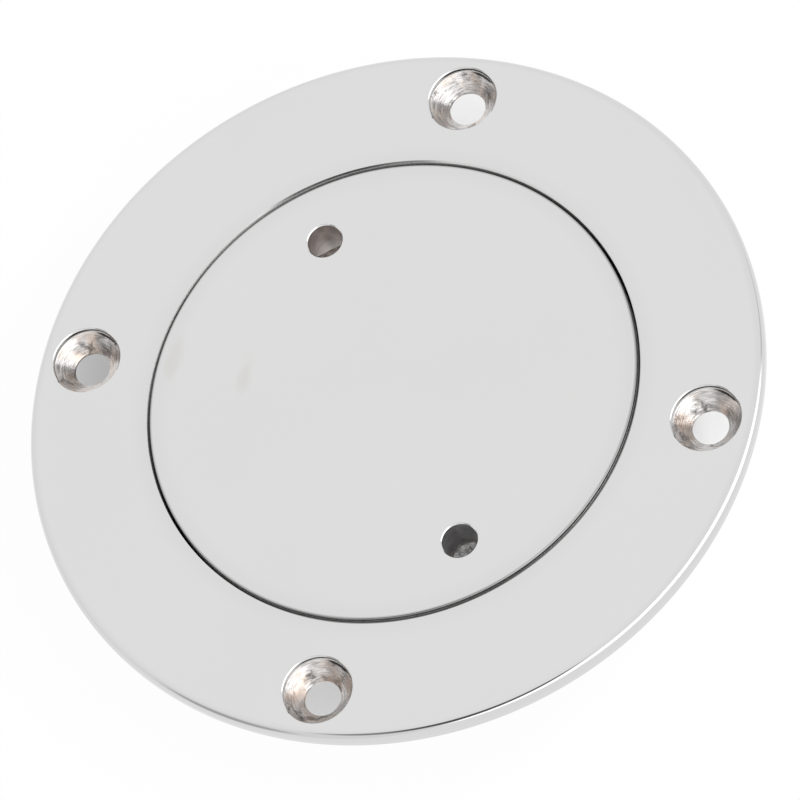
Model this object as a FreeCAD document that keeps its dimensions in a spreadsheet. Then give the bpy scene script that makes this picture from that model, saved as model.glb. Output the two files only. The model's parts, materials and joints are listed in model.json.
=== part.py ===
import FreeCAD, Part
import os
import re
import Sketcher

# Deck inspection plate: a countersunk frame ring let into a deck, and a lid that screws into it on a seal.
# Millimetres. Z = 0 is the deck surface, under the flange; +Z points up out of the deck, on the ring's axis.

SIZES = [
    ("lid_dia", 84.4, "lid, across its visible face"),
    ("lid_gap", 0.45, "clearance all round between lid and frame bore"),
    ("flange_width", 20.85, "flange face, from the bore out to the rim"),
    ("flange_thick", 4.2, "flange, above the deck"),
    ("flange_top_round", 1.2, "buffed upper edge of the rim"),
    ("flange_under_chamfer", 1.6, "lower edge of the rim"),
    ("bore_edge_chamfer", 0.3, "broken edge of the frame bore"),
    ("collar_wall", 3.8, "collar, outside the frame bore"),
    ("collar_depth", 13.0, "collar, below the deck"),
    ("collar_chamfer", 1.0, "lead-in at the collar's lower end"),
    ("seat_width", 2.35, "ledge that the lid stops on, from the bore in to the thread"),
    ("seat_gap", 0.05, "play between the lid and its ledge"),
    ("thread_lead", 0.6, "chamfer at the mouth of the thread"),
    ("thread_room", 1.6, "room for the two threads, from the lid's core to the frame's thread root"),
    ("screw_inset", 8.5, "deck screw holes, in from the rim"),
    ("screw_count", 4, "deck screws"),
    ("screw_hole_dia", 6.2, "clearance hole for a 6 mm screw"),
    ("screw_head_dia", 11.8, "mouth of the countersink"),
    ("screw_head_lip", 0.9, "straight lip above the cone"),
    ("screw_head_angle", 90, "countersink, included angle in degrees"),
    ("lid_head", 3.4, "lid head, above the seal groove"),
    ("lid_land", 1.1, "shoulder under the seal groove"),
    ("lid_web", 5.5, "lid plate, over the hollow"),
    ("lid_skirt", 4.2, "wall that carries the lid's thread"),
    ("lid_end_gap", 0.7, "lid's lower end, above the collar's"),
    ("lid_edge_chamfer", 0.4, "broken upper edge of the lid"),
    ("lid_chamfer", 1.2, "lead-in at the lid's lower end"),
    ("hollow_chamfer", 1.5, "corner between the lid plate and its skirt"),
    ("seal_cord", 2.5, "section of the seal, as squeezed"),
    ("seal_bevel", 0.7, "corners of the squeezed seal, between the flats where it presses on the metal"),
    ("seal_fit", 0.02, "play between the squeezed seal and the metal on each side"),
    ("seal_side_gap", 0.25, "free height above and below the seal in its groove"),
    ("spanner_inset", 6.95, "spanner holes, in from the lid's threaded core"),
    ("spanner_turn", 124.7, "spanner holes, turned from the X axis when the lid is home, in degrees"),
    ("spanner_dia", 6.0, "blind holes for the spanner's pegs"),
    ("spanner_depth", 7.5, "full-bore depth of the spanner holes"),
    ("drill_point", 118, "drill point, included angle in degrees"),
    ("boss_wall", 3.2, "metal round each spanner hole"),
    ("boss_floor", 2.0, "metal under each drill point"),
]

# Places that several pieces share, as formulas over the sizes above
BORE_R = "(lid_dia / 2 + lid_gap)"
FLANGE_R = f"({BORE_R} + flange_width)"
COLLAR_R = f"({BORE_R} + collar_wall)"
THREAD_R = f"({BORE_R} - seat_width)"
CORE_R = f"({THREAD_R} - thread_room)"
SCREW_R = f"({FLANGE_R} - screw_inset)"
SPANNER_R = f"({CORE_R} - spanner_inset)"
GROOVE_R = f"({BORE_R} - seal_cord - 2 * seal_fit)"
GROOVE_TOP_Z = "(flange_thick - lid_head)"
SEAL_Z = f"({GROOVE_TOP_Z} - seal_side_gap - seal_cord / 2)"
LAND_TOP_Z = f"({GROOVE_TOP_Z} - seal_cord - 2 * seal_side_gap)"
LAND_Z = f"({LAND_TOP_Z} - lid_land)"
SEAT_Z = f"({LAND_Z} - seat_gap)"
COLLAR_END_Z = "(-collar_depth)"
LID_END_Z = "(lid_end_gap - collar_depth)"
WEB_Z = "(flange_thick - lid_web)"
DRILL_TIP = "(spanner_dia / 2 / tan(drill_point / 2 * 1 deg))"
BOSS_Z = f"(flange_thick - spanner_depth - {DRILL_TIP} - boss_floor)"

FULL_TURN = 360
# How near an edge must lie to its formula to be the one meant
EDGE_MATCH = 1e-3


doc = FreeCAD.newDocument("deck_inspection_plate")


def make_sheet():
    sheet = doc.addObject("Spreadsheet::Sheet", "sizes")
    for row, (alias, value, note) in enumerate(SIZES, start=1):
        sheet.set(f"A{row}", alias.replace("_", " "))
        sheet.set(f"B{row}", str(value))
        sheet.setAlias(f"B{row}", alias)
        sheet.set(f"C{row}", note)
    doc.recompute()
    return sheet


def linked(formula):
    """The formula with each size read from the sheet."""
    return re.sub(r"[a-z]+(_[a-z]+)+", r"sizes.\g<0>", formula)


def value_of(formula):
    """The formula's present value, for finding edges and for first guesses in sketches."""
    found = sheet.evalExpression(linked(formula))
    return float(getattr(found, "Value", found))


def bind(feature, **formulas):
    for name, formula in formulas.items():
        feature.setExpression(name, linked(formula))


def add_body(label):
    body = doc.addObject("PartDesign::Body", label)
    body.Label = label
    body.Placement = FreeCAD.Placement()
    return body


def origin_item(body, role):
    return next(item for item in body.Origin.OriginFeatures if item.Role == role)


def add_sketch(body, name, plane, height=None):
    sketch = body.newObject("Sketcher::SketchObject", name)
    sketch.AttachmentSupport = [(origin_item(body, plane), "")]
    sketch.MapMode = "FlatFace"
    if height is not None:
        sketch.setExpression("AttachmentOffset.Base.z", linked(height))
    return sketch


def place_point(sketch, item, end, across, up):
    """Dimensions one sketch point from the origin."""
    for kind, formula in (("DistanceX", across), ("DistanceY", up)):
        start = value_of(formula)
        index = sketch.addConstraint(Sketcher.Constraint(kind, -1, 1, item, end, start))
        sketch.setExpression(f"Constraints[{index}]", linked(formula))


def draw_outline(sketch, corners):
    """A closed outline of straight lines through corners given as (across, up) formulas."""
    places = [FreeCAD.Vector(value_of(across), value_of(up), 0) for across, up in corners]
    lines = []
    for here, there in zip(places, places[1:] + places[:1]):
        lines.append(sketch.addGeometry(Part.LineSegment(here, there)))
    for line, following in zip(lines, lines[1:] + lines[:1]):
        sketch.addConstraint(Sketcher.Constraint("Coincident", line, 2, following, 1))
    for line, (across, up) in zip(lines, corners):
        place_point(sketch, line, 1, across, up)


def draw_circle(sketch, across, up, radius):
    middle = FreeCAD.Vector(value_of(across), value_of(up), 0)
    circle = Part.Circle(middle, FreeCAD.Vector(0, 0, 1), value_of(radius))
    item = sketch.addGeometry(circle)
    place_point(sketch, item, 3, across, up)
    index = sketch.addConstraint(Sketcher.Constraint("Radius", item, value_of(radius)))
    sketch.setExpression(f"Constraints[{index}]", linked(radius))


def revolve(body, sketch, name):
    feature = body.newObject("PartDesign::Revolution", name)
    feature.Profile = sketch
    feature.ReferenceAxis = (origin_item(body, "Z_Axis"), [""])
    feature.Angle = FULL_TURN
    doc.recompute()
    return feature


def circle_edges(shape, radius, height):
    """Names of the round edges of that radius, about the ring's axis at that height."""
    wanted = FreeCAD.Vector(0, 0, value_of(height))
    names = []
    for number, edge in enumerate(shape.Edges, start=1):
        curve = edge.Curve
        if not isinstance(curve, Part.Circle):
            continue
        if max(abs(curve.Radius - value_of(radius)), curve.Center.distanceToPoint(wanted)) < EDGE_MATCH:
            names.append(f"Edge{number}")
    if not names:
        raise RuntimeError(f"no edge of radius {radius} at height {height}")
    return names


def soften(body, kind, name, size, circles):
    """A Fillet or Chamfer of one named size on the circles given."""
    base = body.Tip
    edges = []
    for circle in circles:
        edges += circle_edges(base.Shape, *circle)
    feature = body.newObject(f"PartDesign::{kind}", name)
    feature.Base = (base, edges)
    bind(feature, **{"Radius" if kind == "Fillet" else "Size": size})
    doc.recompute()
    return feature


def cut_holes(body, sketch, name, diameter):
    """A drilled hole at each circle of the sketch, downwards from its plane."""
    feature = body.newObject("PartDesign::Hole", name)
    feature.Profile = sketch
    doc.recompute()
    bind(feature, Diameter=diameter)
    return feature


def must_remove(body, before, name):
    """A cut that points away from the solid takes nothing and shows no error."""
    doc.recompute()
    if body.Tip.Shape.Volume >= before:
        raise RuntimeError(f"{name} cut nothing")


def make_frame():
    body = add_body("frame")
    section = add_sketch(body, "frame_section", "XZ_Plane")
    draw_outline(section, [
        (BORE_R, "flange_thick"),
        (FLANGE_R, "flange_thick"),
        (FLANGE_R, "0"),
        (COLLAR_R, "0"),
        (COLLAR_R, COLLAR_END_Z),
        (THREAD_R, COLLAR_END_Z),
        (THREAD_R, SEAT_Z),
        (BORE_R, SEAT_Z),
    ])
    revolve(body, section, "frame_ring")
    soften(body, "Fillet", "rim_upper_edge", "flange_top_round", [(FLANGE_R, "flange_thick")])
    soften(body, "Chamfer", "rim_lower_edge", "flange_under_chamfer", [(FLANGE_R, "0")])
    soften(body, "Chamfer", "bore_edge", "bore_edge_chamfer", [(BORE_R, "flange_thick")])
    soften(body, "Chamfer", "collar_end", "collar_chamfer", [(COLLAR_R, COLLAR_END_Z)])
    soften(body, "Chamfer", "thread_mouth", "thread_lead", [(THREAD_R, SEAT_Z)])
    make_screw_holes(body)
    return body


def make_screw_holes(body):
    """Countersunk holes for the deck screws: a cone and a clearance hole under a short straight lip."""
    before = body.Tip.Shape.Volume
    cone_top = "(flange_thick - screw_head_lip)"
    centre = add_sketch(body, "screw_centre", "XY_Plane", cone_top)
    draw_circle(centre, SCREW_R, "0", "screw_hole_dia / 2")
    hole = cut_holes(body, centre, "screw_hole", "screw_hole_dia")
    hole.DepthType = "ThroughAll"
    hole.HoleCutType = "Countersink"
    hole.HoleCutCustomValues = True
    bind(hole, HoleCutDiameter="screw_head_dia", HoleCutCountersinkAngle="screw_head_angle")
    must_remove(body, before, "screw_hole")

    before = body.Tip.Shape.Volume
    mouth = add_sketch(body, "screw_mouth", "XY_Plane", "flange_thick")
    draw_circle(mouth, SCREW_R, "0", "screw_head_dia / 2")
    lip = body.newObject("PartDesign::Pocket", "screw_lip")
    lip.Profile = mouth
    lip.Type = "Length"
    bind(lip, Length="screw_head_lip")
    must_remove(body, before, "screw_lip")

    pattern = body.newObject("PartDesign::PolarPattern", "screw_circle")
    pattern.Originals = [hole, lip]
    pattern.Axis = (origin_item(body, "Z_Axis"), [""])
    pattern.Angle = FULL_TURN
    bind(pattern, Occurrences="screw_count")
    body.Tip = pattern
    doc.recompute()


def make_lid():
    body = add_body("lid")
    section = add_sketch(body, "lid_section", "XZ_Plane")
    hollow_r = f"({CORE_R} - lid_skirt)"
    draw_outline(section, [
        ("0", "flange_thick"),
        ("lid_dia / 2", "flange_thick"),
        ("lid_dia / 2", GROOVE_TOP_Z),
        (GROOVE_R, GROOVE_TOP_Z),
        (GROOVE_R, LAND_TOP_Z),
        ("lid_dia / 2", LAND_TOP_Z),
        ("lid_dia / 2", LAND_Z),
        (CORE_R, LAND_Z),
        (CORE_R, LID_END_Z),
        (hollow_r, LID_END_Z),
        (hollow_r, WEB_Z),
        ("0", WEB_Z),
    ])
    revolve(body, section, "lid_turning")
    soften(body, "Chamfer", "lid_upper_edge", "lid_edge_chamfer", [("lid_dia / 2", "flange_thick")])
    soften(body, "Chamfer", "thread_start", "lid_chamfer", [(CORE_R, LID_END_Z)])
    soften(body, "Chamfer", "hollow_corner", "hollow_chamfer", [(hollow_r, WEB_Z)])
    make_bosses(body)
    make_spanner_holes(body)
    return body


def spanner_sketch(body, name, height, radius):
    """Two circles, one over each spanner hole, opposite each other about the lid's axis."""
    sketch = add_sketch(body, name, "XY_Plane", height)
    for side in ("1", "-1"):
        across = f"{side} * {SPANNER_R} * cos(spanner_turn * 1 deg)"
        up = f"{side} * {SPANNER_R} * sin(spanner_turn * 1 deg)"
        draw_circle(sketch, across, up, radius)
    return sketch


def make_bosses(body):
    """Bosses under the lid plate that keep the spanner holes blind."""
    bosses = body.newObject("PartDesign::Pad", "spanner_bosses")
    bosses.Profile = spanner_sketch(body, "boss_circles", BOSS_Z, "(spanner_dia / 2 + boss_wall)")
    bosses.Type = "Length"
    bind(bosses, Length=f"{WEB_Z} - {BOSS_Z}")
    doc.recompute()


def make_spanner_holes(body):
    before = body.Tip.Shape.Volume
    circles = spanner_sketch(body, "spanner_circles", "flange_thick", "spanner_dia / 2")
    holes = cut_holes(body, circles, "spanner_holes", "spanner_dia")
    holes.DepthType = "Dimension"
    holes.DrillPoint = "Angled"
    bind(holes, Depth="spanner_depth", DrillPointAngle="drill_point")
    must_remove(body, before, "spanner_holes")


def make_seal():
    body = add_body("seal_ring")
    section = add_sketch(body, "seal_section", "XZ_Plane")
    corners = [
        (f"{GROOVE_R} + seal_fit", f"{SEAL_Z} - seal_cord / 2"),
        (f"{BORE_R} - seal_fit", f"{SEAL_Z} - seal_cord / 2"),
        (f"{BORE_R} - seal_fit", f"{SEAL_Z} + seal_cord / 2"),
        (f"{GROOVE_R} + seal_fit", f"{SEAL_Z} + seal_cord / 2"),
    ]
    draw_outline(section, corners)
    revolve(body, section, "seal_turning")
    soften(body, "Chamfer", "seal_corners", "seal_bevel", corners)
    return body


def check_model(bodies):
    for item in doc.Objects:
        if "Invalid" in item.State or "Error" in item.State:
            raise RuntimeError(f"{item.Name} failed: {item.State}")
    for body in bodies:
        if body.Shape.isNull() or not body.Shape.isValid():
            raise RuntimeError(f"{body.Label} has no valid shape")


sheet = make_sheet()
pieces = [make_frame(), make_lid(), make_seal()]
doc.recompute()
check_model(pieces)
os.makedirs("parts", exist_ok=True)
for piece in pieces:
    piece.Shape.exportStep(f"parts/{piece.Label}.step")
    size = piece.Shape.optimalBoundingBox(False)
    print(f"{piece.Label}: {size.XLength:.2f} x {size.YLength:.2f} x {size.ZLength:.2f} mm,",
          f"{piece.Shape.Volume / 1000:.2f} cm3, {len(piece.Shape.Solids)} solid")
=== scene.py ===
"""Deck inspection plate: a polished frame ring with four countersunk screw holes, a flush screw-in lid with
two spanner holes, the seal between them, both threads, and the white tent that they are lit in.
Metres, +Z up."""

import json
import math

import bmesh
import bpy
from bpy.props import FloatProperty, FloatVectorProperty, IntProperty, PointerProperty
from bpy.types import Operator, Panel, PropertyGroup
from mathutils import Matrix, Vector, geometry


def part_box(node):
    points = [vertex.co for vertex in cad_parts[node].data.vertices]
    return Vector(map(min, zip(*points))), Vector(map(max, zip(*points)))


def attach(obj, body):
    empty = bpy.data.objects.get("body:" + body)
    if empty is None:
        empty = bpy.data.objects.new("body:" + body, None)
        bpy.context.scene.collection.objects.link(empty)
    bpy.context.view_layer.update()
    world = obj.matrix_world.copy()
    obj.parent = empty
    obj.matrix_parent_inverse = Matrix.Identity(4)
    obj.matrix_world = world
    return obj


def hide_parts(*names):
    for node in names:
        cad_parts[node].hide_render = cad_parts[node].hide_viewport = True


bl_info = {
    "name": "Deck Inspection Plate",
    "version": (1, 0, 0),
    "blender": (4, 5, 0),
    "location": "3D View > Sidebar > Deck Plate",
    "description": "Builds a polished deck inspection plate with its screw-in lid, seal and threads",
    "category": "Add Mesh",
}

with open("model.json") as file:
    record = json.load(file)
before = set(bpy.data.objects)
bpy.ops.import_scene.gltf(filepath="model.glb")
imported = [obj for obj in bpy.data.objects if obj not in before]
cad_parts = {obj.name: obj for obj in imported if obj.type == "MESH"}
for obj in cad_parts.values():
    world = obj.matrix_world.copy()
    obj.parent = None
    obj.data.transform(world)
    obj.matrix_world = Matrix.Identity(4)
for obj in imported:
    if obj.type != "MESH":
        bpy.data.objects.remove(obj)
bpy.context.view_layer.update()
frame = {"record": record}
FRAME_LOW, FRAME_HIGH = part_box("frame")
LID_LOW, LID_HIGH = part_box("lid")
SEAL_LOW, SEAL_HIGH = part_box("seal_ring")
MOUNTS = {mount["name"]: mount for mount in frame["record"]["mounts"]}
SCREWS = MOUNTS["deck_screws"]["dims"]
SPANNER = MOUNTS["spanner_hole_left"]
MM = 0.001

POLISHED = "mirror_polish"
TURNED = "turned_metal"
GREYED = "greyed_wall"
SINK = "countersink_cut"
LIP = "dark_lip"
DRILLED = "drilled_metal"
RUBBER = "moulded_rubber"
WALL_MAP = "hole_wall"

AXIS = (0.0, 0.0)
UP = Vector((0.0, 0.0, 1.0))
WHITE = (1.0, 1.0, 1.0)

# Faces round the plate's axis, round a hole or boss, in a quarter turn of a corner, and at least in a corner
RING_STEPS = 256
HOLE_STEPS = 96
ROUND_STEPS = 8
LEAST_STEPS = 3
POINT_GRID = 1e7  # parts of a metre: places in the same one are one point
SHORTEST_LINE = 1e-9  # of a section, to get faces
BEVEL_REACH = math.tan(math.pi / 8)  # from a 45 degree bevel's end to where its round ends, for a round of 1
# In radii of a hole or boss, the place beside it that its section takes its first or last direction from.
# Under the flange, the countersink's wall map starts there.
GUIDE = 1.3
SHANK_GUIDE = 1.4
GREY_START = 1.1  # where the lid's greyed wall starts below its top, in upper rounds
# Larger rounds, in broken edges
COLLAR_ROOT = 2
BOSS_ROOT = 4
BOSS_END = 3


def length(name, description, default):
    return FloatProperty(name=name, description=description, default=default, precision=5,
                         subtype="DISTANCE", unit="LENGTH")


def angle(name, description, degrees):
    return FloatProperty(name=name, description=description, default=math.radians(degrees), subtype="ANGLE")


def amount(name, description, default):
    return FloatProperty(name=name, description=description, default=default, min=0.0)


def share(name, description, default):
    return FloatProperty(name=name, description=description, default=default, min=0.0, max=1.0,
                         subtype="FACTOR")


def colour(name, description, default):
    return FloatVectorProperty(name=name, description=description, default=default, size=3, min=0.0, max=1.0,
                               subtype="COLOR")


class FrameSizes(PropertyGroup):
    """Sizes of the frame ring."""

    rim_radius: length("Rim radius", "Outside of the flange", FRAME_HIGH.x)
    top: length("Top face", "Height of the polished face above the deck", FRAME_HIGH.z)
    rim_round: length("Rim round", "Buffed upper edge of the rim", 1.7 * MM)
    rim_under_bevel: length("Rim under-bevel", "Lower edge of the rim", 1.6 * MM)
    bore_radius: length("Bore radius", "Opening that the lid sits in", 42.65 * MM)
    bore_bevel: length("Bore bevel", "Width of the bevel round the bore, seen from above", 0.3 * MM)
    bore_bevel_drop: length("Bore bevel drop", "Height of the bevel round the bore", 0.2 * MM)
    collar_radius: length("Collar radius", "Outside of the collar under the flange", 46.45 * MM)
    collar_end: length("Collar end", "Height of the collar's lower end", FRAME_LOW.z)
    collar_bevel: length("Collar bevel", "Lead-in at the collar's lower end", 1.0 * MM)
    seat: length("Lid seat", "Height of the ledge that the lid stops on", -3.35 * MM)
    thread_radius: length("Thread root radius", "Collar's inside, at the root of its thread", 40.3 * MM)
    thread_lead: length("Thread lead", "Bevel at the mouth of the thread", 0.6 * MM)
    screw_circle: length("Screw circle radius", "Circle of the deck screws", SCREWS["pcd_mm"] / 2 * MM)
    screws: IntProperty(name="Screws", description="Deck screws", default=SCREWS["count"], min=1)
    shank_radius: length("Shank radius", "Clearance hole for the screw", SCREWS["hole_r_mm"] * MM)
    head_radius: length("Head radius", "Mouth of the countersink", 5.9 * MM)
    head_lip: length("Head lip", "Straight wall above the cone", 0.9 * MM)
    lip_round: length("Lip round", "Buffed corner between the cone and its straight wall", 0.4 * MM)
    mouth_bevel: length("Mouth bevel", "Bevel round the countersink's mouth", 0.2 * MM)
    edge: length("Broken edge", "Small rounds on the turned edges", 0.12 * MM)


class LidSizes(PropertyGroup):
    """Sizes of the lid."""

    radius: length("Lid radius", "Outside of the lid's head", LID_HIGH.x)
    top: length("Top face", "Height of the polished face above the deck", LID_HIGH.z)
    top_round: length("Upper edge", "Buffed upper edge of the lid", 0.45 * MM)
    groove_radius: length("Groove radius", "Bottom of the seal groove", 40.11 * MM)
    groove_top: length("Groove top", "Upper side of the seal groove", 0.8 * MM)
    groove_base: length("Groove base", "Lower side of the seal groove", -2.2 * MM)
    shoulder: length("Shoulder", "Underside of the shoulder that meets the frame's ledge", -3.3 * MM)
    core_radius: length("Core radius", "Root of the lid's thread", 38.7 * MM)
    end: length("Lower end", "Height of the lid's lower end", LID_LOW.z)
    end_bevel: length("End bevel", "Lead-in of the lid's thread", 1.2 * MM)
    hollow_radius: length("Hollow radius", "Inside of the lid's skirt", 34.5 * MM)
    hollow_round: length("Hollow round", "Corner between lid plate and skirt", 1.5 * MM)
    web: length("Plate underside", "Height of the lid plate's underside", -1.3 * MM)
    spanner_x: length("Spanner hole X", "Place of the first spanner hole", SPANNER["pos_m"][0])
    spanner_y: length("Spanner hole Y", "Place of the first spanner hole", SPANNER["pos_m"][1])
    spanner_radius: length("Spanner hole radius", "Blind holes for the spanner's pegs",
                           SPANNER["dims"]["r_mm"] * MM)
    spanner_depth: length("Spanner hole depth", "Depth before the drill point",
                          SPANNER["dims"]["length_mm"] * MM)
    drill_point: angle("Drill point", "Included angle of the drill's tip", 118)
    spanner_bevel: length("Spanner hole bevel", "Bevel round the spanner holes", 0.22 * MM)
    boss_radius: length("Boss radius", "Metal round each spanner hole", 6.2 * MM)
    boss_end: length("Boss end", "Height of the bosses' lower ends", -7.1 * MM)
    edge: length("Broken edge", "Small rounds on the turned edges", 0.12 * MM)


class SealSizes(PropertyGroup):
    """Sizes of the seal ring."""

    inner_radius: length("Inner radius", "Side pressed on the lid's groove", 40.13 * MM)
    outer_radius: length("Outer radius", "Side pressed on the frame's bore", SEAL_HIGH.x)
    low: length("Lower side", "Height of the squeezed ring's lower side", SEAL_LOW.z)
    high: length("Upper side", "Height of the squeezed ring's upper side", SEAL_HIGH.z)
    corner: length("Corner", "Rounded corners of the squeezed ring", 0.95 * MM)


class ThreadSizes(PropertyGroup):
    """Sizes shared by the frame's thread and the lid's."""

    pitch: length("Pitch", "Rise in one turn", 3.0 * MM)
    ridge_height: length("Ridge height", "From inside the wall to the crest", 1.4 * MM)
    sunk: length("Sunk", "How far a ridge is sunk into its wall", 0.1 * MM)
    root_width: length("Root width", "Ridge at its wall", 2.37 * MM)
    crest_width: length("Crest width", "Ridge at its crest", 0.75 * MM)
    frame_start: length("Frame thread start", "Height of the frame's thread at its lower end", -12.1 * MM)
    frame_turns: amount("Frame thread turns", "Turns of the frame's thread", 2.46)
    lid_turns: amount("Lid thread turns", "Turns of the lid's thread", 2.13)
    run_out: amount("Run-out", "Part of a turn over which each thread end fades", 0.12)
    steps: IntProperty(name="Steps", description="Points in one turn", default=120, min=12)


class Finishes(PropertyGroup):
    """Colours of the finishes."""

    polished: colour("Polished steel", "Mirror-polished faces", (0.722, 0.722, 0.721))
    smudge: colour("Smudge", "Streaks left on the lid's polish", (0.45, 0.4, 0.34))
    turned: colour("Turned steel", "Machined faces under the plate", (0.68, 0.68, 0.67))
    greyed: colour("Greyed wall", "Walls of the lid's gap, dulled by dirt", (0.4, 0.395, 0.39))
    sink: colour("Countersink", "Turned metal in the screw holes", (0.58, 0.56, 0.55))
    sink_heat: colour("Countersink heat tint", "Straw tint that the cutter's heat left", (0.66, 0.55, 0.48))
    sink_stain: colour("Countersink stain", "Dark stains in the screw holes", (0.06, 0.055, 0.055))
    # Painted shade: this black colours the countersink's straight wall and the crescent under its mouth; in
    # the spanner holes it gives random soot patches
    lip: colour("Countersink lip", "Blackened straight wall at the countersink's mouth", (0.06, 0.058, 0.058))
    drilled: colour("Drilled steel", "Inside of the spanner holes", (0.64, 0.64, 0.65))
    drilled_heat: colour("Drilled steel, heated", "Inside of the spanner hole that the drill heated",
                         (0.78, 0.71, 0.68))
    # Painted highlight: this near-white stands in for the bright reflection at the drill point, on ragged
    # metal
    torn: colour("Torn steel", "Bright ridges that the drill tore at its point", (1.0, 0.96, 0.93))
    rubber: colour("Seal rubber", "Seal ring", (0.035, 0.035, 0.037))


class StageSizes(PropertyGroup):
    """The tent, its floor and the camera."""

    aim: FloatVectorProperty(name="Aim", description="Where the camera's axis meets the polished face",
                             default=(2.08 * MM, -1.98 * MM, 4.2 * MM), size=3, precision=5,
                             subtype="XYZ", unit="LENGTH")
    distance: length("Distance", "From the aim to the camera", 1.10592)
    azimuth: angle("Azimuth", "Camera's direction, from the X axis", -49.39)
    elevation: angle("Elevation", "Camera's height above the horizon", 59.48)
    roll: angle("Roll", "Camera's turn about its own axis", -31.09)
    lens: amount("Lens", "Focal length in millimetres", 298.84)
    floor_radius: length("Floor radius", "White floor of the tent", 1.2)
    floor_share: share("Floor brightness", "How much light the floor gives back", 0.5)
    key_watts: amount("Key light", "Low soft light from the right, in watts", 4.0)
    fill_watts: amount("Fill light", "Low soft light from the front, in watts", 2.2)


class PlateSettings(PropertyGroup):
    """Everything that can be changed on the plate."""

    frame: PointerProperty(type=FrameSizes)
    lid: PointerProperty(type=LidSizes)
    seal: PointerProperty(type=SealSizes)
    thread: PointerProperty(type=ThreadSizes)
    finish: PointerProperty(type=Finishes)
    stage: PointerProperty(type=StageSizes)


class Signal:
    """A node's output. Arithmetic on it adds Math nodes."""

    def __init__(self, recipe, socket):
        self.recipe = recipe
        self.socket = socket

    def __add__(self, other):
        return self.recipe.maths("ADD", self, other)

    def __mul__(self, other):
        return self.recipe.maths("MULTIPLY", self, other)

    def __sub__(self, other):
        return self.recipe.maths("SUBTRACT", self, other)

    def __rsub__(self, other):
        return self.recipe.maths("SUBTRACT", other, self)

    def __truediv__(self, other):
        return self.recipe.maths("DIVIDE", self, other)

    __radd__ = __add__
    __rmul__ = __mul__


class Recipe:
    """A tree of nodes: one finish, the tent's light, or the shape of a thread."""

    def __init__(self, tree):
        self.tree = tree
        tree.nodes.clear()

    def add(self, kind, sockets=None, give=0, **settings):
        """Adds a node, sets it up, fills or links its sockets, and gives one of its outputs."""
        node = self.tree.nodes.new(kind)
        for name, value in settings.items():
            setattr(node, name, value)
        for key, value in (sockets or {}).items():
            socket = pick(node.inputs, key)
            if isinstance(value, Signal):
                self.tree.links.new(value.socket, socket)
            else:
                socket.default_value = value
        if any(socket.enabled for socket in node.outputs):
            return Signal(self, pick(node.outputs, give))
        return None

    def maths(self, operation, first, second=None):
        values = {0: first} if second is None else {0: first, 1: second}
        return self.add("ShaderNodeMath", values, operation=operation)

    def vector(self, operation, sockets, give=0):
        return self.add("ShaderNodeVectorMath", sockets, give, operation=operation)

    def fade(self, value, start, end, low=0.0, high=1.0):
        """Goes smoothly from low to high while value goes from start to end."""
        sockets = {"Value": value, "From Min": start, "From Max": end, "To Min": low, "To Max": high}
        return self.add("ShaderNodeMapRange", sockets, interpolation_type="SMOOTHSTEP")

    def noise(self, place, scale, detail=2.0, rough=0.5):
        sockets = {"Vector": place, "Scale": scale, "Detail": detail, "Roughness": rough}
        return self.add("ShaderNodeTexNoise", sockets)

    def rings(self, travelled, scale, detail=3.0, rough=0.6):
        """Lines across the way travelled, as a tool leaves them."""
        sockets = {"W": travelled, "Scale": scale, "Detail": detail, "Roughness": rough}
        return self.add("ShaderNodeTexNoise", sockets, noise_dimensions="1D")

    def blend(self, factor, first, second):
        """Mixes two colours."""
        return self.add("ShaderNodeMix", {"Factor": factor, "A": first, "B": second}, data_type="RGBA")

    def shade(self, factor, tint, dark, light):
        """Goes from a dark to a light level of one colour."""
        return self.blend(factor, paint(tint, dark), paint(tint, light))

    def relief(self, height, depth):
        return self.add("ShaderNodeBump", {"Distance": depth, "Height": height})

    def object_place(self):
        return self.add("ShaderNodeTexCoord", give="Object")

    def from_point(self, place, point):
        return self.vector("DISTANCE", {0: place, 1: point}, "Value")

    def from_axis(self, place):
        """Distance from the ring's axis."""
        return self.vector("LENGTH", {0: self.vector("MULTIPLY", {0: place, 1: (1.0, 1.0, 0.0)})}, "Value")

    def part(self, place, axis):
        return self.add("ShaderNodeSeparateXYZ", {0: place}, axis)

    def wall(self, axis):
        """Where on a hole's wall a place is: X in parts of a turn, Y in metres along its section."""
        return self.part(self.add("ShaderNodeUVMap", uv_map=WALL_MAP), axis)


def pick(sockets, key):
    """The shown socket of that number or name."""
    shown = [socket for socket in sockets if socket.enabled]
    return shown[key] if isinstance(key, int) else next(socket for socket in shown if socket.name == key)


def paint(tint, level=1.0):
    return (*(channel * level for channel in tint), 1.0)


def new_material(name):
    material = bpy.data.materials.new(name)
    material.use_nodes = True
    return material, Recipe(material.node_tree)


def surface(recipe, tint, rough, normal, metallic=1.0):
    sockets = {"Base Color": tint, "Metallic": metallic, "Roughness": rough, "Normal": normal}
    shader = recipe.add("ShaderNodeBsdfPrincipled", sockets)
    recipe.add("ShaderNodeOutputMaterial", {"Surface": shader})


# Where each fade of the finishes starts and ends, then what it goes from and to, unless that is from 0 to 1.
# Those of the polish go by the distance from the lid's edge or the plate's axis.
# Painted shade on the polish: a dark line along the gap between lid and frame, a soft darkening beside it,
# and a darker band near the rim
GAP_PAINTED_SHADE = (0.0, 0.6 * MM, 0.35)
GAP_SOFT_PAINTED_SHADE = (0.4 * MM, 4.0 * MM, 0.965)
RIM_PAINTED_SHADE = (FRAME_HIGH.x - 1.9 * MM, FRAME_HIGH.x - 0.8 * MM, 1.0, 0.95)
# Middles of the two streaks on the lid, what Y counts for in their reach, how far their edge strays, and
# their fade
SMUDGES = ((-26.0 * MM, 0.2 * MM), (-39.2 * MM, 1.2 * MM))
SMUDGE_SQUASH = 0.3
SMUDGE_RAGGED = 3.5 * MM
SMUDGE_FADE = (0.0, 1.6 * MM, 0.14, 0.0)


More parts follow.
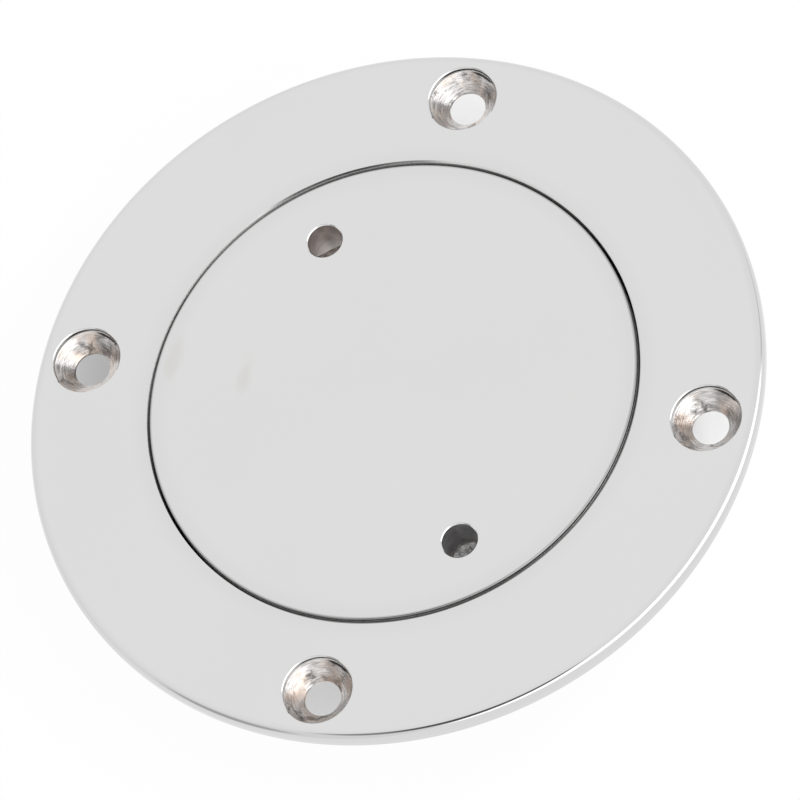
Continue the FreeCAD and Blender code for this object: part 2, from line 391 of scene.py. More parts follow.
def polish(recipe, finishes):
    """Mirror polish with the haze and wipe marks that buffed steel keeps, with painted shade darkening it
    near the rim and along the lid's gap, and two faint streaks on the lid."""
    place = recipe.object_place()
    haze = recipe.noise(place, scale=28.0, detail=3.0)
    wipe = recipe.noise(place, scale=160.0, detail=4.0, rough=0.6)
    wave = recipe.noise(place, scale=55.0, detail=1.0)
    across = recipe.from_axis(place)
    gap = recipe.maths("ABSOLUTE", across - LID_HIGH.x)
    # Painted shade: the polish is blended towards black along the gap and near the rim
    unshaded = recipe.fade(gap, *GAP_PAINTED_SHADE) * recipe.fade(gap, *GAP_SOFT_PAINTED_SHADE) * recipe.fade(across, *RIM_PAINTED_SHADE)
    tint = recipe.shade(haze, finishes.polished, dark=0.985, light=1.012)
    tint = recipe.blend(unshaded, paint(finishes.polished, 0.0), tint)
    squashed = recipe.vector("MULTIPLY", {0: place, 1: (1.0, SMUDGE_SQUASH, 1.0)})
    for x, y in SMUDGES:
        from_middle = recipe.from_point(squashed, (x, y * SMUDGE_SQUASH, LID_HIGH.z))
        streak = recipe.fade(from_middle + (wipe - 0.5) * SMUDGE_RAGGED, *SMUDGE_FADE)
        tint = recipe.blend(streak, tint, paint(finishes.smudge))
    rough = 0.055 + haze * 0.04 + wipe * 0.03
    surface(recipe, tint, rough, recipe.relief(wave + wipe * 0.12, depth=7e-6))


WALL_RINGS = 1.3  # rings to a millimetre of wall, against those to a millimetre of flat


def turned_metal(recipe, finishes):
    """Machined steel with the fine rings that the lathe leaves about the plate's axis."""
    place = recipe.object_place()
    travelled = recipe.from_axis(place) + recipe.part(place, "Z") * WALL_RINGS
    rings = recipe.rings(travelled, scale=5200.0)
    patches = recipe.noise(place, scale=90.0, detail=4.0, rough=0.6)
    tint = recipe.shade(patches, finishes.turned, dark=0.86, light=1.08)
    rough = 0.26 + patches * 0.2 + rings * 0.1
    surface(recipe, tint, rough, recipe.relief(rings, depth=8e-6))


def greyed_wall(recipe, finishes):
    """Upper walls of the gap between lid and ring, dulled by dirt that polishing left there."""
    place = recipe.object_place()
    dirt = recipe.noise(place, scale=140.0, detail=4.0, rough=0.6)
    tint = recipe.shade(dirt, finishes.greyed, dark=0.75, light=1.3)
    surface(recipe, tint, 0.5 + dirt * 0.15, recipe.relief(dirt, depth=1e-5), metallic=dirt * 0.4)


# Tool marks run round the cone as noise on a small circle, and wander up and down its wall
MARK_CIRCLE = 0.7 * MM
MARK_WANDER = 0.3 * MM
STAIN_FADE = (0.52, 0.65)
HEAT_FADE = (0.45, 0.72)
MARK_FADE = (0.3, 0.7)
# The black crescent, a painted shadow under the countersink's mouth: its sides in turns round the hole, its
# foot up the wall, and how far it dips and strays
CRESCENT_START = (0.08, 0.15)
CRESCENT_END = (0.2, 0.29, 1.0, 0.0)
CRESCENT_FOOT = (5.85 * MM, 6.0 * MM)
CRESCENT_DIP = 0.75 * MM
CRESCENT_RAGGED = 0.3 * MM


def countersink_cut(recipe, finishes):
    """Countersink left as cut: broken tool marks round the cone, chatter across it, straw tints, soft stains,
    and a painted shadow: a black crescent under its mouth."""
    place = recipe.object_place()
    turned, up_wall = recipe.wall("X"), recipe.wall("Y")
    chatter = recipe.noise(place, scale=210.0, detail=1.0)
    cloud = recipe.noise(place, scale=330.0, detail=4.0, rough=0.6)
    specks = recipe.noise(place, scale=1700.0, detail=3.0, rough=0.6)
    round_cone = recipe.add("ShaderNodeCombineXYZ", {
        "X": recipe.maths("COSINE", turned * math.tau) * MARK_CIRCLE,
        "Y": recipe.maths("SINE", turned * math.tau) * MARK_CIRCLE,
        "Z": up_wall + cloud * MARK_WANDER,
    })
    marks = recipe.noise(round_cone, scale=3300.0, detail=4.0, rough=0.7)
    stain = recipe.fade(cloud * 0.8 + specks * 0.2, *STAIN_FADE)
    heat = recipe.fade(recipe.noise(place, scale=260.0, detail=3.0), *HEAT_FADE)
    side = recipe.fade(turned, *CRESCENT_START) * recipe.fade(turned, *CRESCENT_END)
    crescent = recipe.fade(up_wall + side * CRESCENT_DIP + specks * CRESCENT_RAGGED, *CRESCENT_FOOT)
    tint = recipe.shade(recipe.fade(marks, *MARK_FADE), finishes.sink, dark=0.6, light=1.4)
    tint = recipe.blend(heat, tint, paint(finishes.sink_heat))
    tint = recipe.blend(stain * 0.75, tint, paint(finishes.sink_stain))
    # Painted shadow: the black crescent under the mouth
    tint = recipe.blend(crescent, tint, paint(finishes.lip))
    rough = 0.09 + cloud * 0.14 + stain * 0.2
    surface(recipe, tint, rough, recipe.relief(chatter + marks * 0.06, depth=5e-4))


# In turns round the hole: where the straight wall goes from painted shade, black, to a painted highlight,
# bright, and how far that edge strays
HIGHLIGHT_SIDE_FADE = (0.36, 0.46)
HIGHLIGHT_SIDE_RAGGED = 0.4


def dark_lip(recipe, finishes):
    """Straight wall at the countersink's mouth, painted black as shade on one side and painted bright as a
    highlight on the other.
    """
    place = recipe.object_place()
    cloud = recipe.noise(place, scale=700.0, detail=4.0)
    turned = recipe.wall("X") + (recipe.noise(place, scale=60.0) - 0.5) * HIGHLIGHT_SIDE_RAGGED
    highlight_side = recipe.fade(turned, *HIGHLIGHT_SIDE_FADE)
    # Painted shade: the wall's black; painted highlight: one side painted as bright polished steel
    tint = recipe.shade(cloud, finishes.lip, dark=0.3, light=1.9)
    tint = recipe.blend(highlight_side, tint, paint(finishes.polished, 1.3))
    surface(recipe, tint, 0.2 + cloud * 0.2 + highlight_side * 0.25, recipe.relief(cloud, depth=2e-5))


# Up the wall from the drill's tip: where the ragged metal at the point, painted bright as a highlight, ends,
# how far its edge strays, and the rings' wander.
# The heat goes by Y, from the hole in front to the one behind.
TORN_END = (3.4 * MM, 3.9 * MM, 1.0, 0.0)
TORN_RAGGED = 1.6 * MM
TORN_FADE = (0.35, 0.95)
RING_WANDER = 0.3 * MM
DRILL_HEAT = (-10.0 * MM, 10.0 * MM)
SOOT_FADE = (0.3, 0.7, 0.4, 0.0)


def drilled_metal(recipe, finishes):
    """Drilled holes with the drill's marks: one browned by heat, the other grey, and ragged metal at the
    point painted bright as a highlight."""
    place = recipe.object_place()
    cloud = recipe.noise(place, scale=380.0, detail=5.0, rough=0.6)
    lumps = recipe.noise(place, scale=900.0, detail=3.0, rough=0.6)
    torn = 1.0 - recipe.maths("ABSOLUTE", lumps - 0.5) * 5.0
    up_wall = recipe.wall("Y")
    point = recipe.fade(up_wall + (0.5 - torn) * TORN_RAGGED, *TORN_END)
    rings = recipe.rings(up_wall + cloud * RING_WANDER, scale=2600.0)
    heat = recipe.fade(recipe.part(place, "Y"), *DRILL_HEAT)
    metal = recipe.blend(heat, paint(finishes.drilled), paint(finishes.drilled_heat))
    tint = recipe.blend(recipe.fade(cloud, *SOOT_FADE), metal, paint(finishes.lip))
    # Painted highlight: the ragged metal at the drill point is painted near-white
    tint = recipe.blend(point * recipe.fade(torn, *TORN_FADE), tint, paint(finishes.torn))
    bumps = recipe.relief(rings + cloud * 0.8 + torn * point * 2.5, depth=5e-5)
    surface(recipe, tint, 0.3 + cloud * 0.2, bumps, metallic=1.0 - point * 0.1)


def moulded_rubber(recipe, finishes):
    """Moulded black rubber, slightly bloomed."""
    place = recipe.object_place()
    bloom = recipe.noise(place, scale=260.0, detail=4.0, rough=0.6)
    grain = recipe.noise(place, scale=5200.0)
    tint = recipe.shade(bloom, finishes.rubber, dark=0.8, light=2.0)
    surface(recipe, tint, 0.42 + bloom * 0.22, recipe.relief(grain, depth=8e-6), metallic=0.0)


FINISH_RECIPES = {
    POLISHED: polish,
    TURNED: turned_metal,
    GREYED: greyed_wall,
    SINK: countersink_cut,
    LIP: dark_lip,
    DRILLED: drilled_metal,
    RUBBER: moulded_rubber,
}


def finish_of(name):
    """The finish of that name, made on first use."""
    if name not in bpy.data.materials:
        _, recipe = new_material(name)
        FINISH_RECIPES[name](recipe, bpy.context.scene.deck_plate.finish)
    return bpy.data.materials[name]


class Corner:
    """A corner of a section: its place, its round, the finish from here on, and whether the flat that follows
    it has holes and is filled on its own."""

    def __init__(self, radius, height, round_size=0.0, finish=TURNED, holed=False):
        self.place = Vector((radius, height))
        self.round_size = round_size
        self.finish = finish
        self.holed = holed


def facing_of(start, end):
    """The way that the line from start to end faces. Sections run with their metal on the right."""
    along = (end - start).normalized()
    return Vector((-along.y, along.x))


def corner_places(before, corner, after):
    """Places and facings from the end of the line before a corner to the start of the line after it."""
    here = corner.place
    first, last = facing_of(before, here), facing_of(here, after)
    if not corner.round_size:
        return [(here, first), (here, last)]
    back, ahead = (before - here).normalized(), (after - here).normalized()
    half = back.angle(ahead) / 2
    centre = here + (back + ahead).normalized() * (corner.round_size / math.sin(half))
    reach = corner.round_size / math.tan(half)
    start, end = here + back * reach, here + ahead * reach
    arm = start - centre
    outward = 1.0 if arm.dot(first) > 0 else -1.0
    sweep = -arm.angle_signed(end - centre)
    steps = max(LEAST_STEPS, round(abs(sweep) / (math.pi / 2) * ROUND_STEPS))
    found = [(start, first)]
    for step in range(1, steps):
        turned = Matrix.Rotation(sweep * step / steps, 2) @ arm
        found.append((centre + turned, turned.normalized() * outward))
    return [*found, (end, last)]


def section_strips(corners, closed):
    """Cuts a section into strips: finish, then place, facing and way travelled at each side. Holed flats are
    left out, and so are the guides at both ends of an open section."""
    count = len(corners)
    bends = []
    for number, corner in enumerate(corners):
        if not closed and number in (0, count - 1):
            after = corners[1] if number == 0 else corner
            before = corner if number == 0 else corners[-2]
            facing = facing_of(before.place, after.place)
            bends.append([(corner.place, facing), (corner.place, facing)])
        else:
            after = corners[(number + 1) % count]
            bends.append(corner_places(corners[number - 1].place, corner, after.place))
    strips = []
    travelled = 0.0
    for number, (corner, bend) in enumerate(zip(corners, bends)):
        pairs = list(zip(bend, bend[1:]))
        if closed or number < count - 1:
            pairs.append((bend[-1], (bends[(number + 1) % count][0][0], bend[-1][1])))
        for index, ((here, here_facing), (there, there_facing)) in enumerate(pairs):
            low_side = (here, here_facing, travelled)
            step = (there - here).length
            travelled += step
            left_out = corner.holed and index == len(bend) - 1
            if step > SHORTEST_LINE and not left_out:
                strips.append((corner.finish, low_side, (there, there_facing, travelled)))
    return strips


def steps_round(centre):
    return RING_STEPS if centre == AXIS else HOLE_STEPS


def ring_place(centre, radius, height, number):
    """A place on a level ring, and the way out from its middle there."""
    steps = steps_round(centre)
    turned = math.tau * (number % steps) / steps
    out = Vector((math.cos(turned), math.sin(turned), 0.0))
    return Vector((centre[0] + out.x * radius, centre[1] + out.y * radius, height)), out


class Skin:
    """The faces of one piece. Each corner of a face keeps the true facing of the surface, so that polished
    flats reflect as flats and rounds as rounds."""

    def __init__(self):
        self.points = []
        self.known = {}
        self.faces = []
        self.facings = []
        self.finishes = []
        self.walls = []

    def point(self, place):
        key = tuple(round(part * POINT_GRID) for part in place)
        if key not in self.known:
            self.known[key] = len(self.points)
            self.points.append(place)
        return self.known[key]

    def face(self, corners, finish):
        """Adds a face from (place, facing, wall coordinate) corners, turned the way that they face."""
        kept = {}
        for place, facing, wall in corners:
            kept.setdefault(self.point(place), (facing, wall))
        if len(kept) < 3:
            return
        flat = geometry.normal([self.points[number] for number in kept])
        order = list(kept)
        if flat.dot(sum((facing for facing, _ in kept.values()), Vector())) < 0:
            order.reverse()
        self.faces.append(order)
        self.facings.extend(kept[number][0] for number in order)
        self.walls.extend(kept[number][1] for number in order)
        self.finishes.append(finish)

    def turn(self, centre, corners, closed=False):
        """Turns a section about the upright line through centre."""
        steps = steps_round(centre)
        for finish, low, high in section_strips(corners, closed):
            for step in range(steps):
                quad = []
                for side, number in ((low, step), (low, step + 1), (high, step + 1), (high, step)):
                    place, facing, travelled = side
                    spot, out = ring_place(centre, place.x, place.y, number)
                    quad.append((spot, out * facing.x + UP * facing.y, (number / steps, travelled)))
                self.face(quad, finish)

    def fill(self, rings, height, facing, finish):
        """Fills the flat at that height between rings given as (centre, radius), the outer one first. Where
        another ring reaches past the outer one, into the metal, the flat there faces the other way."""
        loops = []
        for centre, radius in rings:
            numbers = range(steps_round(centre))
            loops.append([ring_place(centre, radius, height, number)[0] for number in numbers])
        places = [place for loop in loops for place in loop]
        outer_centre, outer_radius = rings[0][:2]
        for triangle in geometry.tessellate_polygon(loops):
            corners = [places[number] for number in triangle]
            middle = sum(corners, Vector()) / 3
            beyond = math.dist(middle[:2], outer_centre) > outer_radius
            faced = -facing if beyond else facing
            self.face([(place, faced, (0.0, 0.0)) for place in corners], finish)

    def make(self, name, body):
        """The piece as an object that rides on a body of the CAD model."""
        mesh = bpy.data.meshes.new(name)
        mesh.from_pydata(self.points, [], self.faces)
        names = sorted(set(self.finishes))
        for finish in names:
            mesh.materials.append(finish_of(finish))
        mesh.polygons.foreach_set("material_index", [names.index(finish) for finish in self.finishes])
        mesh.polygons.foreach_set("use_smooth", [True] * len(self.faces))
        wall_map = mesh.uv_layers.new(name=WALL_MAP)
        wall_map.data.foreach_set("uv", [part for wall in self.walls for part in wall])
        mesh.update()
        mesh.normals_split_custom_set(self.facings)
        return place_piece(mesh, name, body)


def place_piece(mesh, name, body):
    piece = bpy.data.objects.new(name, mesh)
    bpy.context.scene.collection.objects.link(piece)
    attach(piece, body)
    return piece


def frame_section(size):
    """The ring's section, from the bore's upper edge out over the flange and round under it."""
    return [
        Corner(size.bore_radius + size.bore_bevel, size.top, 0.0, POLISHED, holed=True),
        Corner(size.rim_radius, size.top, size.rim_round, POLISHED),
        Corner(size.rim_radius, size.rim_under_bevel, size.edge, POLISHED),
        Corner(size.rim_radius - size.rim_under_bevel, 0.0, size.edge, holed=True),
        Corner(size.collar_radius, 0.0, size.edge * COLLAR_ROOT),
        Corner(size.collar_radius, size.collar_end + size.collar_bevel, size.edge),
        Corner(size.collar_radius - size.collar_bevel, size.collar_end, size.edge),
        Corner(size.thread_radius, size.collar_end, size.edge),
        Corner(size.thread_radius, size.seat - size.thread_lead, size.edge),
        Corner(size.thread_radius + size.thread_lead, size.seat, size.edge),
        Corner(size.bore_radius, size.seat, size.edge, GREYED),
        Corner(size.bore_radius, size.top - size.bore_bevel_drop, 0.0, POLISHED),
    ]


def screw_hole_section(size):
    """The countersunk hole's section, from under the flange up to its mouth."""
    cone_top = size.top - size.head_lip
    cone_low = cone_top - (size.head_radius - size.shank_radius)
    return [
        Corner(size.shank_radius * SHANK_GUIDE, 0.0, holed=True),
        Corner(size.shank_radius, 0.0, size.edge, SINK),
        Corner(size.shank_radius, cone_low, size.edge / 2, SINK),
        Corner(size.head_radius, cone_top, size.lip_round, POLISHED),
        Corner(size.head_radius, cone_top + size.lip_round / 2, 0.0, LIP),
        Corner(size.head_radius, size.top - size.mouth_bevel, size.edge, POLISHED),
        Corner(size.head_radius + size.mouth_bevel, size.top, size.edge, POLISHED, holed=True),
        Corner(size.head_radius * GUIDE, size.top),
    ]


class PLATE_OT_frame_ring(Operator):
    """Build the polished frame ring with its countersunk screw holes, collar and ledge"""

    bl_idname = "deck_plate.frame_ring"
    bl_label = "Frame Ring"

    def execute(self, context):
        size = context.scene.deck_plate.frame
        skin = Skin()
        skin.turn(AXIS, frame_section(size), closed=True)
        centres = []
        for number in range(size.screws):
            turned = math.tau * number / size.screws
            centres.append((size.screw_circle * math.cos(turned), size.screw_circle * math.sin(turned)))
        for centre in centres:
            skin.turn(centre, screw_hole_section(size))
        rings = [(AXIS, size.rim_radius - size.rim_round), (AXIS, size.bore_radius + size.bore_bevel)]
        mouth = size.head_radius + size.mouth_bevel + size.edge * BEVEL_REACH
        rings += [(centre, mouth) for centre in centres]
        skin.fill(rings, size.top, UP, POLISHED)
        bevel_end = size.rim_radius - size.rim_under_bevel - size.edge * BEVEL_REACH
        rings = [(AXIS, bevel_end), (AXIS, size.collar_radius + size.edge * COLLAR_ROOT)]
        rings += [(centre, size.shank_radius + size.edge) for centre in centres]
        skin.fill(rings, 0.0, -UP, TURNED)
        ring = skin.make("frame_ring", "frame_body")
        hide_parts("frame")
        return {"FINISHED"}


def lid_section(size):
    """The lid's section, from its polished face down over the seal groove, shoulder and core, and up the
    hollow."""
    return [
        Corner(0.0, size.top, holed=True),
        Corner(size.radius, size.top, size.top_round, POLISHED),
        Corner(size.radius, size.top - size.top_round * GREY_START, 0.0, GREYED),
        Corner(size.radius, size.groove_top, size.edge),
        Corner(size.groove_radius, size.groove_top, size.edge),
        Corner(size.groove_radius, size.groove_base, size.edge),
        Corner(size.radius, size.groove_base, size.edge),
        Corner(size.radius, size.shoulder, size.edge),
        Corner(size.core_radius, size.shoulder, size.edge),
        Corner(size.core_radius, size.end + size.end_bevel, size.edge),
        Corner(size.core_radius - size.end_bevel, size.end, size.edge),
        Corner(size.hollow_radius, size.end, size.edge),
        Corner(size.hollow_radius, size.web, size.hollow_round, holed=True),
        Corner(0.0, size.web),
    ]


def spanner_hole_section(size):
    """The blind hole's section, from the drill point's tip up to its mouth."""
    full_depth = size.top - size.spanner_depth
    tip = full_depth - size.spanner_radius / math.tan(size.drill_point / 2)
    return [
        Corner(0.0, tip, 0.0, DRILLED),
        Corner(size.spanner_radius, full_depth, size.edge, DRILLED),
        Corner(size.spanner_radius, size.top - size.spanner_bevel, size.edge, POLISHED),
        Corner(size.spanner_radius + size.spanner_bevel, size.top, size.edge, POLISHED, holed=True),
        Corner(size.spanner_radius * GUIDE, size.top),
    ]


def boss_section(size):
    """The boss's section, from the lid plate's underside down to its own end."""
    return [
        Corner(size.boss_radius * GUIDE, size.web, holed=True),
        Corner(size.boss_radius, size.web, size.edge * BOSS_ROOT),
        Corner(size.boss_radius, size.boss_end, size.edge * BOSS_END, holed=True),
        Corner(0.0, size.boss_end),
    ]


class PLATE_OT_lid(Operator):
    """Build the flush lid with its spanner holes, seal groove, shoulder, core and hollow"""

    bl_idname = "deck_plate.lid"
    bl_label = "Lid"

    def execute(self, context):
        size = context.scene.deck_plate.lid
        skin = Skin()
        skin.turn(AXIS, lid_section(size))
        centres = [(size.spanner_x, size.spanner_y), (-size.spanner_x, -size.spanner_y)]
        for centre in centres:
            skin.turn(centre, spanner_hole_section(size))
            skin.turn(centre, boss_section(size))
            skin.fill([(centre, size.boss_radius - size.edge * BOSS_END)], size.boss_end, -UP, TURNED)
        mouth = size.spanner_radius + size.spanner_bevel + size.edge * BEVEL_REACH
        rings = [(AXIS, size.radius - size.top_round), *((centre, mouth) for centre in centres)]
        skin.fill(rings, size.top, UP, POLISHED)
        root = size.boss_radius + size.edge * BOSS_ROOT
        rings = [(AXIS, size.hollow_radius - size.hollow_round), *((centre, root) for centre in centres)]
        skin.fill(rings, size.web, -UP, TURNED)
        lid = skin.make("lid_disc", "lid_body")
        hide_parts("lid")
        return {"FINISHED"}


class PLATE_OT_seal(Operator):
    """Build the squeezed rubber seal in the lid's groove"""

    bl_idname = "deck_plate.seal"
    bl_label = "Seal Ring"

    def execute(self, context):
        size = context.scene.deck_plate.seal
        section = [
            Corner(size.inner_radius, size.high, size.corner, RUBBER),
            Corner(size.outer_radius, size.high, size.corner, RUBBER),
            Corner(size.outer_radius, size.low, size.corner, RUBBER),
            Corner(size.inner_radius, size.low, size.corner, RUBBER),
        ]
        skin = Skin()
        skin.turn(AXIS, section, closed=True)
        seal = skin.make("lid_seal", "seal_body")
        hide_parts("seal_ring")
        return {"FINISHED"}


THREAD_SIZES = ("Wall Radius", "Ridge Height", "Root Width", "Crest Width", "Start Height", "Rise", "Turns",
                "Run-out")
THREAD_INPUTS = {
    **dict.fromkeys(THREAD_SIZES, "NodeSocketFloat"),
    "Steps": "NodeSocketInt",
    "Finish": "NodeSocketMaterial",
}
THREAD_POINT = 0.02  # a ridge's size at its very end, as a share of its full size
THREAD_CREASE = math.radians(20)
MERGE_DISTANCE = 1e-7


def thread_tree():
    """Nodes that sweep a ridge along a helix on the inside or outside of a round wall."""
    tree = bpy.data.node_groups.new("thread_ridge", "GeometryNodeTree")
    for label, kind in THREAD_INPUTS.items():
        tree.interface.new_socket(label, in_out="INPUT", socket_type=kind)
    tree.interface.new_socket("Geometry", in_out="OUTPUT", socket_type="NodeSocketGeometry")
    recipe = Recipe(tree)
    given = {label: recipe.add("NodeGroupInput", give=label) for label in THREAD_INPUTS}
    helix = recipe.add("GeometryNodeCurveSpiral", {
        "Resolution": given["Steps"],
        "Rotations": given["Turns"],
        "Start Radius": given["Wall Radius"],
        "End Radius": given["Wall Radius"],
        "Height": given["Rise"] * given["Turns"],
        "Reverse": True,
    })
    start = recipe.add("ShaderNodeCombineXYZ", {"Z": given["Start Height"]})
    helix = recipe.add("GeometryNodeTransform", {"Geometry": helix, "Translation": start})
    helix = recipe.add("GeometryNodeSetCurveNormal", {"Curve": helix}, mode="Z_UP")
    along = recipe.add("GeometryNodeSplineParameter")
    from_end = recipe.maths("MINIMUM", along, 1.0 - along) * given["Turns"] / given["Run-out"]
    swell = recipe.fade(from_end, 0.0, 1.0, low=THREAD_POINT)
    points = {}
    for number, (reach, width, side) in enumerate(((0.0, "Root Width", 0.5), (1.0, "Crest Width", 0.5),
                                                   (1.0, "Crest Width", -0.5), (0.0, "Root Width", -0.5)), 1):
        place = {"X": given["Ridge Height"] * reach, "Y": given[width] * side}
        points[f"Point {number}"] = recipe.add("ShaderNodeCombineXYZ", place)
    ridge = recipe.add("GeometryNodeCurvePrimitiveQuadrilateral", points, mode="POINTS")
    solid = recipe.add("GeometryNodeCurveToMesh",
                       {"Curve": helix, "Profile Curve": ridge, "Scale": swell, "Fill Caps": True})
    solid = recipe.add("GeometryNodeRealizeInstances", {"Geometry": solid})
    solid = recipe.add("GeometryNodeSetMaterial", {"Geometry": solid, "Material": given["Finish"]})
    recipe.add("NodeGroupOutput", {"Geometry": solid})
    return tree


def run_tree(tree, values):
    """The tree's result as a plain mesh, its doubles merged and its faces turned outwards."""
    holder = bpy.data.objects.new("holder", bpy.data.meshes.new("holder"))
    bpy.context.scene.collection.objects.link(holder)
    modifier = holder.modifiers.new("nodes", "NODES")
    modifier.node_group = tree
    for item in tree.interface.items_tree:
        if item.in_out == "INPUT":
            modifier[item.identifier] = values[item.name]
    depsgraph = bpy.context.evaluated_depsgraph_get()
    mesh = bpy.data.meshes.new_from_object(holder.evaluated_get(depsgraph), depsgraph=depsgraph)
    bpy.data.objects.remove(holder)
    work = bmesh.new()
    work.from_mesh(mesh)
    bmesh.ops.remove_doubles(work, verts=work.verts, dist=MERGE_DISTANCE)
    bmesh.ops.recalc_face_normals(work, faces=work.faces)
    work.to_mesh(mesh)
    work.free()
    return mesh


class PLATE_OT_threads(Operator):
    """Build the frame's inner thread and the lid's outer thread, half a pitch apart"""

    bl_idname = "deck_plate.threads"
    bl_label = "Threads"

    def execute(self, context):
        settings = context.scene.deck_plate
        size = settings.thread
        tree = thread_tree()
        shared = {
            "Root Width": size.root_width,
            "Crest Width": size.crest_width,
            "Rise": size.pitch,
            "Run-out": size.run_out,
            "Steps": size.steps,
            "Finish": finish_of(TURNED),
        }
        inside = {
            "Wall Radius": settings.frame.thread_radius + size.sunk,
            "Ridge Height": -size.ridge_height,
            "Start Height": size.frame_start,
            "Turns": size.frame_turns,
        }
        outside = {
            "Wall Radius": settings.lid.core_radius - size.sunk,
            "Ridge Height": size.ridge_height,
            "Start Height": size.frame_start + size.pitch / 2,
            "Turns": size.lid_turns,
        }
        for name, body, own in (("frame_thread", "frame_body", inside), ("lid_thread", "lid_body", outside)):
            mesh = run_tree(tree, shared | own)
            mesh.shade_smooth()
            mesh.set_sharp_from_angle(angle=THREAD_CREASE)
            place_piece(mesh, name, body)
        bpy.data.node_groups.remove(tree)
        return {"FINISHED"}


def direction(azimuth, elevation):
    level = math.cos(elevation)
    return Vector((level * math.cos(azimuth), level * math.sin(azimuth), math.sin(elevation)))


# The tent as the polished steel sees it, each patch over those before it: azimuth, elevation, reach and soft
# edge in degrees, and brightness. The first is a bright band, the next four trim it to its right front part,
# and the last four are the dark round the camera.
TENT_PATCHES = [
    (95.0, 56.0, 84.0, 6.0, 2.0),
    (-143.0, 36.0, 46.0, 6.0, 0.9),
    (172.0, 12.0, 34.0, 10.0, 0.95),
    (80.0, 8.0, 40.0, 9.0, 0.65),
    (105.0, 58.0, 63.0, 5.0, 1.0),
    (-129.0, 17.0, 9.0, 9.0, 0.5),
    (-102.0, 54.0, 5.0, 9.0, 0.3),
    (-80.0, 58.0, 6.0, 9.0, 0.08),
    (-61.0, 60.0, 4.0, 8.0, 0.12),
]


def light_tent():
    """White all round, with soft patches where a bright panel, and the dark round the camera, would be."""
    world = bpy.data.worlds.new("light_tent")
    world.use_nodes = True
    recipe = Recipe(world.node_tree)
    looking = recipe.add("ShaderNodeTexCoord", give="Generated")
    level = 1.0
    for azimuth, elevation, reach, soft, brightness in TENT_PATCHES:
        towards = direction(math.radians(azimuth), math.radians(elevation))
        cosine = recipe.vector("DOT_PRODUCT", {0: looking, 1: towards}, "Value")
        inside = recipe.fade(cosine, math.cos(math.radians(reach + soft)), math.cos(math.radians(reach)))
        level = level + inside * (brightness - level)
    seen = recipe.add("ShaderNodeLightPath", give="Is Camera Ray")
    level = seen + (1.0 - seen) * level
    light = recipe.add("ShaderNodeBackground", {"Color": paint(WHITE), "Strength": level})
    recipe.add("ShaderNodeOutputWorld", {"Surface": light})
    bpy.context.scene.world = world


FLOOR_STEPS = 96
FLOOR_DROP = 0.02 * MM  # from the collar's lower end to the floor
# The shadow's middle, behind the plate's, and how the floor's own glow rises from there outwards, in metres
SHADOW_BEHIND = 7.7 * MM
SHADOW_EDGE = (0.058, 0.064, 0.22, 0.96)
SHADOW_HALO = (0.064, 0.1, 0.0, 0.04)


def lay_floor(size, height):
    """A white floor that keeps the plate's shadow and fades into the tent further out."""
    material, recipe = new_material("tent_floor")
    place = recipe.object_place()
    shadow_middle = direction(size.azimuth + math.pi, 0.0) * SHADOW_BEHIND + UP * height
    out = recipe.from_point(place, shadow_middle)
    shown = recipe.add("ShaderNodeLightPath", give="Is Camera Ray")
    shown = shown + (1.0 - shown) * recipe.add("ShaderNodeLightPath", give="Is Glossy Ray")
    glow = shown * (recipe.fade(out, *SHADOW_EDGE) + recipe.fade(out, *SHADOW_HALO))
    mottle = recipe.noise(place, scale=40.0, detail=3.0)
    cloth = recipe.shade(mottle, WHITE, dark=size.floor_share * 0.98, light=size.floor_share)
    lit = recipe.add("ShaderNodeBsdfDiffuse", {"Color": cloth})
    even = recipe.add("ShaderNodeEmission", {"Color": paint(WHITE), "Strength": 1.0})
    mixed = recipe.add("ShaderNodeMixShader", {0: glow, 1: lit, 2: even})
    recipe.add("ShaderNodeOutputMaterial", {"Surface": mixed})
    work = bmesh.new()
    bmesh.ops.create_circle(work, cap_ends=True, segments=FLOOR_STEPS, radius=size.floor_radius,
                            matrix=Matrix.Translation((0, 0, height)))
    mesh = bpy.data.meshes.new("tent_floor")
    work.to_mesh(mesh)
    work.free()
    mesh.materials.append(material)
    floor = bpy.data.objects.new("tent_floor", mesh)
    bpy.context.scene.collection.objects.link(floor)


# Soft lights: their width and distance in metres, and each one's azimuth and elevation in degrees
PANEL_WIDTH = 0.18
PANEL_DISTANCE = 0.5
KEY_PLACE = (37.0, 30.0)
FILL_PLACE = (-80.0, 24.0)


def hang_light(name, azimuth, elevation, watts):
    """A soft round panel aimed at the plate, kept out of its reflections."""
    data = bpy.data.lights.new(name, "AREA")
    data.shape = "DISK"
    data.size = PANEL_WIDTH
    data.energy = watts
    light = bpy.data.objects.new(name, data)
    towards = direction(math.radians(azimuth), math.radians(elevation))
    light.location = towards * PANEL_DISTANCE
    light.rotation_mode = "QUATERNION"
    light.rotation_quaternion = towards.to_track_quat("Z", "Y")
    light.visible_glossy = False
    light.visible_camera = False
    bpy.context.scene.collection.objects.link(light)


# The camera's sensor in millimetres, and how near and how far it sees in metres
SENSOR_WIDTH = 36.0
NEAREST = 0.01
FURTHEST = 20.0


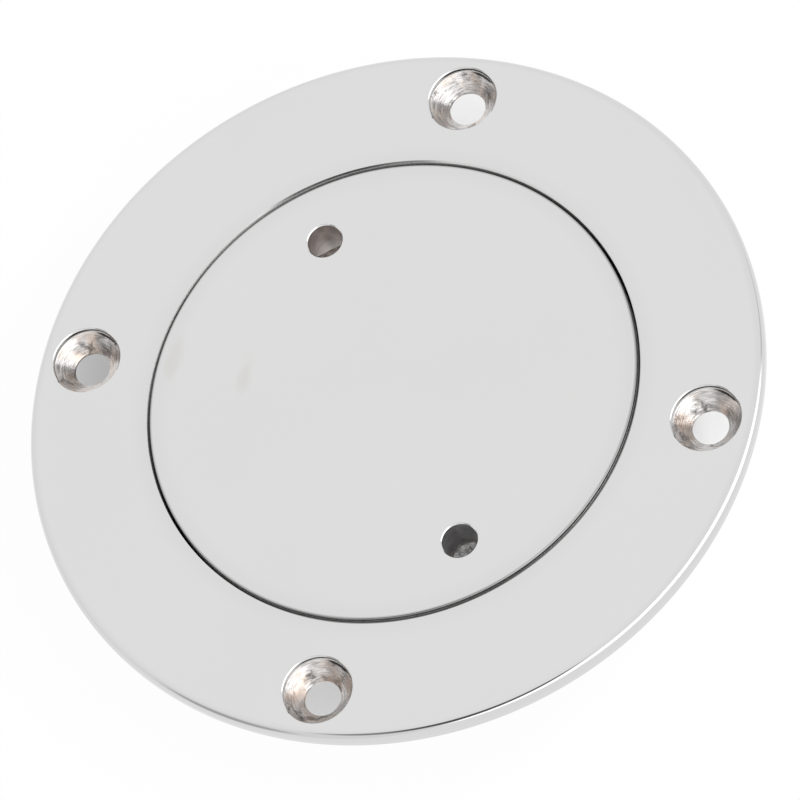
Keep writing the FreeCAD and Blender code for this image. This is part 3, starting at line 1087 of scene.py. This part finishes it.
def set_camera(size):
    """The camera at the photograph's angle, rolled about its own axis."""
    back = direction(size.azimuth, size.elevation)
    level_right = Vector((-math.sin(size.azimuth), math.cos(size.azimuth), 0.0))
    level_up = back.cross(level_right)
    right = level_right * math.cos(size.roll) + level_up * math.sin(size.roll)
    turned = Matrix((right, back.cross(right), back)).transposed().to_4x4()
    data = bpy.data.cameras.new("camera")
    data.lens = size.lens
    data.sensor_width = SENSOR_WIDTH
    data.clip_start = NEAREST
    data.clip_end = FURTHEST
    camera = bpy.data.objects.new("camera", data)
    camera.matrix_world = Matrix.Translation(Vector(size.aim) + back * size.distance) @ turned
    bpy.context.scene.collection.objects.link(camera)
    bpy.context.scene.camera = camera


class PLATE_OT_stage(Operator):
    """Set up the white tent, its floor, the lights and the camera"""

    bl_idname = "deck_plate.stage"
    bl_label = "Stage"

    def execute(self, context):
        settings = context.scene.deck_plate
        context.scene.view_settings.view_transform = "Standard"
        light_tent()
        lay_floor(settings.stage, settings.frame.collar_end - FLOOR_DROP)
        hang_light("key_panel", *KEY_PLACE, settings.stage.key_watts)
        hang_light("fill_panel", *FILL_PLACE, settings.stage.fill_watts)
        set_camera(settings.stage)
        return {"FINISHED"}


BUILD_STEPS = (PLATE_OT_frame_ring, PLATE_OT_lid, PLATE_OT_seal, PLATE_OT_threads, PLATE_OT_stage)
SIZE_GROUPS = (FrameSizes, LidSizes, SealSizes, ThreadSizes, Finishes, StageSizes)


class PLATE_PT_panel(Panel):
    """Sidebar panel with one button for each piece and for the stage"""

    bl_idname = "PLATE_PT_panel"
    bl_label = "Deck Plate"
    bl_space_type = "VIEW_3D"
    bl_region_type = "UI"
    bl_category = "Deck Plate"

    def draw(self, context):
        for step in BUILD_STEPS:
            self.layout.operator(step.bl_idname)
        settings = context.scene.deck_plate
        for label in PlateSettings.__annotations__:
            box = self.layout.box()
            group = getattr(settings, label)
            for name in type(group).__annotations__:
                box.prop(group, name)


CLASSES = (*SIZE_GROUPS, PlateSettings, *BUILD_STEPS, PLATE_PT_panel)


def register():
    for item in CLASSES:
        bpy.utils.register_class(item)
    bpy.types.Scene.deck_plate = PointerProperty(type=PlateSettings)


def unregister():
    del bpy.types.Scene.deck_plate
    for item in reversed(CLASSES):
        bpy.utils.unregister_class(item)


def main():
    register()
    bpy.ops.deck_plate.frame_ring()
    bpy.ops.deck_plate.lid()
    bpy.ops.deck_plate.seal()
    bpy.ops.deck_plate.threads()
    bpy.ops.deck_plate.stage()


if __name__ == "__main__":
    main()
